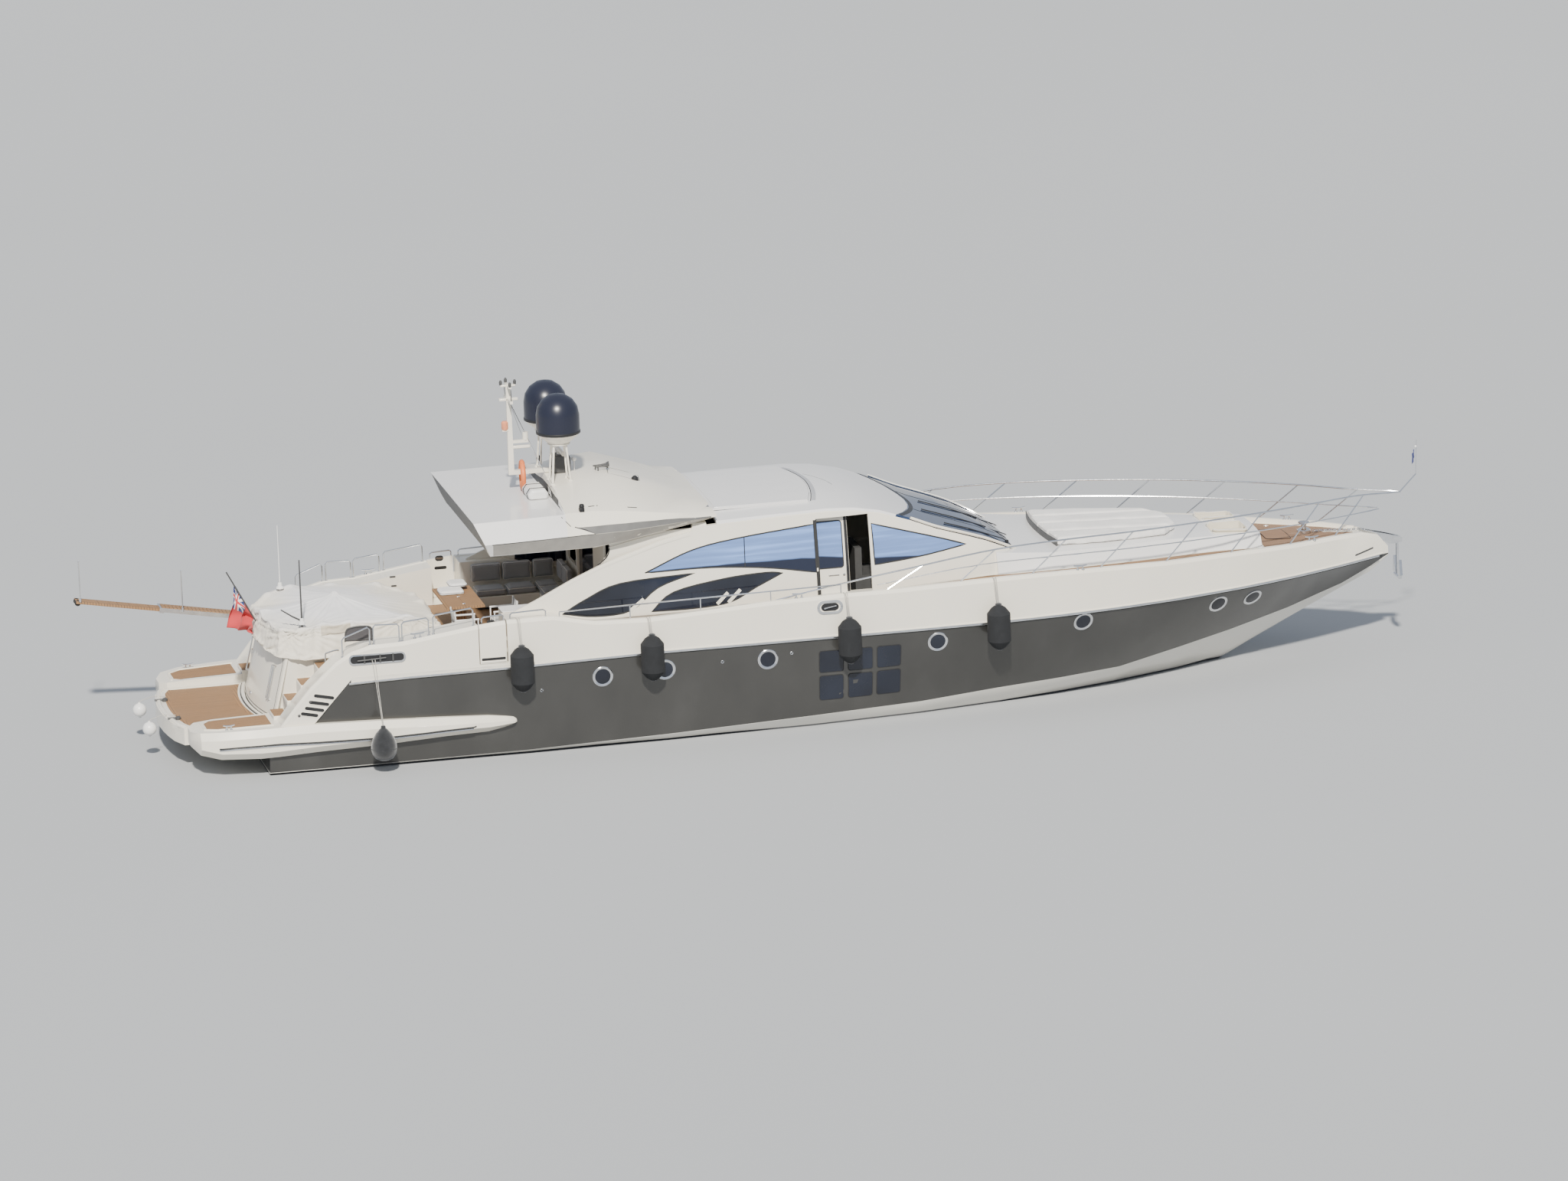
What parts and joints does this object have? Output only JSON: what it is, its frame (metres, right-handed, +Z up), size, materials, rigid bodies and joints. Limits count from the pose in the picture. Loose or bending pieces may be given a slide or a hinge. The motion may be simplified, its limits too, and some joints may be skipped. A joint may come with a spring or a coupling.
{
  "type": "motor yacht",
  "caption": "Open motor yacht afloat: grey hull, white topsides, arched cabin with sliding roof and doors, covered sunbed over a lifting garage lid, gangway and satellite domes",
  "frame": {"origin": "on the centreline at the waterline, halfway along the hull from the swim platform's edge to the stem head", "axes": "+X to the bow, +Y to port, +Z up"},
  "size_m": [28.6841, 6.9378, 8.8481],
  "materials": {
    "grey_hull": "metallic grey paint, gloss",
    "gelcoat": "cream white gelcoat, gloss",
    "dark_glass": "dark tinted glass",
    "teak": "caulked teak, bare",
    "steel": "polished stainless steel",
    "bronze": "cast bronze",
    "navy": "dark navy gloss shell",
    "black_plastic": "black, matt",
    "black_cover": "black knitted cover",
    "dark_mesh": "dark grey woven mesh",
    "cloth": "off white cloth",
    "red_cloth": "red bunting"
  },
  "bodies": {
    "boat": {"hull": "grey_hull", "hull_stern": "grey_hull", "topsides": "gelcoat", "cockpit_sole": "teak", "cabin_side_stb": "gelcoat", "cabin_side_port": "gelcoat", "hardtop": "gelcoat", "cabin_roof": "gelcoat", "windscreen": "dark_glass", "aft_side_glass_stb": "dark_glass", "aft_side_glass_port": "dark_glass", "forward_side_glass_stb": "dark_glass", "forward_side_glass_port": "dark_glass", "saloon_bulkhead": "gelcoat", "swim_platform": "teak", "side_pod_stb": "gelcoat", "side_pod_port": "gelcoat", "stern_moulding": "gelcoat", "cockpit_table": "teak", "cockpit_sofa": "cloth", "deck_chair_aft": "dark_mesh", "deck_chair_forward": "teak", "helm_station": "black_plastic", "foredeck_trunk": "gelcoat", "foredeck_sunpad": "cloth", "bow_roller": "steel", "bow_rail": "steel", "side_handrail_stb": "steel", "side_handrail_port": "steel", "mast": "gelcoat", "satellite_dome_stb": "navy", "satellite_dome_port": "navy", "shaft_stb": "steel", "shaft_port": "steel", "fender_aft": "black_cover", "fender_midaft": "black_cover", "fender_midforward": "black_cover", "fender_forward": "black_cover", "fender_ball_quarter": "black_cover"},
    "bulwark_door_stb": {"bulwark_door_stb": "gelcoat"},
    "bulwark_door_port": {"bulwark_door_port": "gelcoat"},
    "sunroof": {"sunroof_panel": "gelcoat"},
    "side_door_stb": {"side_door_stb": "gelcoat"},
    "side_door_port": {"side_door_port": "gelcoat"},
    "saloon_door": {"saloon_door": "dark_glass"},
    "garage_lid": {"garage_lid": "gelcoat", "sunbed_cover": "cloth", "ensign_staff": "steel", "ensign": "red_cloth"},
    "helm_wheel": {"helm_wheel": "black_plastic"},
    "bow_locker_lid_stb": {"bow_locker_lid_stb": "cloth"},
    "bow_locker_lid_port": {"bow_locker_lid_port": "cloth"},
    "windlass": {"windlass": "steel"},
    "anchor": {"anchor": "steel"},
    "passerelle": {"passerelle": "steel"},
    "passerelle_slide": {"passerelle_slide": "teak"},
    "propeller_stb": {"propeller_stb": "bronze"},
    "propeller_port": {"propeller_port": "bronze"},
    "rudder_stb": {"rudder_stb": "steel"},
    "rudder_port": {"rudder_port": "steel"}
  },
  "joints": [
    {"name": "bulwark_door_stb_hinge", "type": "hinge", "parent": "boat", "child": "bulwark_door_stb", "pos_m": [-6.445, -2.975, 2.415], "axis": [0, 0, 1], "range_deg": [-90, 0]},
    {"name": "bulwark_door_port_hinge", "type": "hinge", "parent": "boat", "child": "bulwark_door_port", "pos_m": [-6.445, 2.975, 2.415], "axis": [0, 0, 1], "range_deg": [0, 90]},
    {"name": "sunroof_slide", "type": "slide", "parent": "boat", "child": "sunroof", "axis": [-1, 0, 0], "range_m": [0, 1.5]},
    {"name": "side_door_stb_slide", "type": "slide", "parent": "boat", "child": "side_door_stb", "axis": [-1, 0, 0], "range_m": [-0.45, 0.65]},
    {"name": "side_door_port_slide", "type": "slide", "parent": "boat", "child": "side_door_port", "axis": [-1, 0, 0], "range_m": [-0.45, 0.65]},
    {"name": "saloon_door_slide", "type": "slide", "parent": "boat", "child": "saloon_door", "axis": [0, 1, 0], "range_m": [0, 0.9]},
    {"name": "garage_lid_hinge", "type": "hinge", "parent": "boat", "child": "garage_lid", "pos_m": [-7.625, 0, 2.33], "axis": [0, 1, 0], "range_deg": [0, 40]},
    {"name": "helm_wheel_turn", "type": "hinge", "parent": "boat", "child": "helm_wheel", "pos_m": [2.33, -0.95, 2.93], "axis": [1, 0, 0], "range_deg": [-360, 360]},
    {"name": "bow_locker_lid_stb_hinge", "type": "hinge", "parent": "boat", "child": "bow_locker_lid_stb", "pos_m": [9.25, -0.54, 3.006], "axis": [0, -1, 0], "range_deg": [0, 75]},
    {"name": "bow_locker_lid_port_hinge", "type": "hinge", "parent": "boat", "child": "bow_locker_lid_port", "pos_m": [9.25, 0.54, 3.006], "axis": [0, -1, 0], "range_deg": [0, 75]},
    {"name": "windlass_turn", "type": "hinge", "parent": "boat", "child": "windlass", "pos_m": [11.5, 0, 2.7], "axis": [0, 0, 1], "continuous": true},
    {"name": "anchor_drop", "type": "slide", "parent": "boat", "child": "anchor", "axis": [0, 0, -1], "range_m": [0, 0.6]},
    {"name": "passerelle_lift", "type": "hinge", "parent": "boat", "child": "passerelle", "pos_m": [-10.52, 2.66, 1.985], "axis": [0, 1, 0], "range_deg": [-9, 60]},
    {"name": "passerelle_extend", "type": "slide", "parent": "passerelle", "child": "passerelle_slide", "axis": [-0.9845, 0, 0.1756], "range_m": [-0.75, 0.6]},
    {"name": "propeller_stb_turn", "type": "hinge", "parent": "boat", "child": "propeller_stb", "pos_m": [-9.575, -1.25, -1.154], "axis": [0.9891, 0, 0.1471], "continuous": true},
    {"name": "propeller_port_turn", "type": "hinge", "parent": "boat", "child": "propeller_port", "pos_m": [-9.575, 1.25, -1.154], "axis": [0.9891, 0, 0.1471], "continuous": true},
    {"name": "rudder_stb_turn", "type": "hinge", "parent": "boat", "child": "rudder_stb", "pos_m": [-10.55, -1.25, -1], "axis": [0, 0, 1], "range_deg": [-35, 35]},
    {"name": "rudder_port_turn", "type": "hinge", "parent": "boat", "child": "rudder_port", "pos_m": [-10.55, 1.25, -1], "axis": [0, 0, 1], "range_deg": [-35, 35]}
  ],
  "couplings": [
    {"joint": "rudder_port_turn", "follows": "rudder_stb_turn", "ratio": 1},
    {"joint": "helm_wheel_turn", "follows": "rudder_stb_turn", "ratio": 10.28}
  ]
}
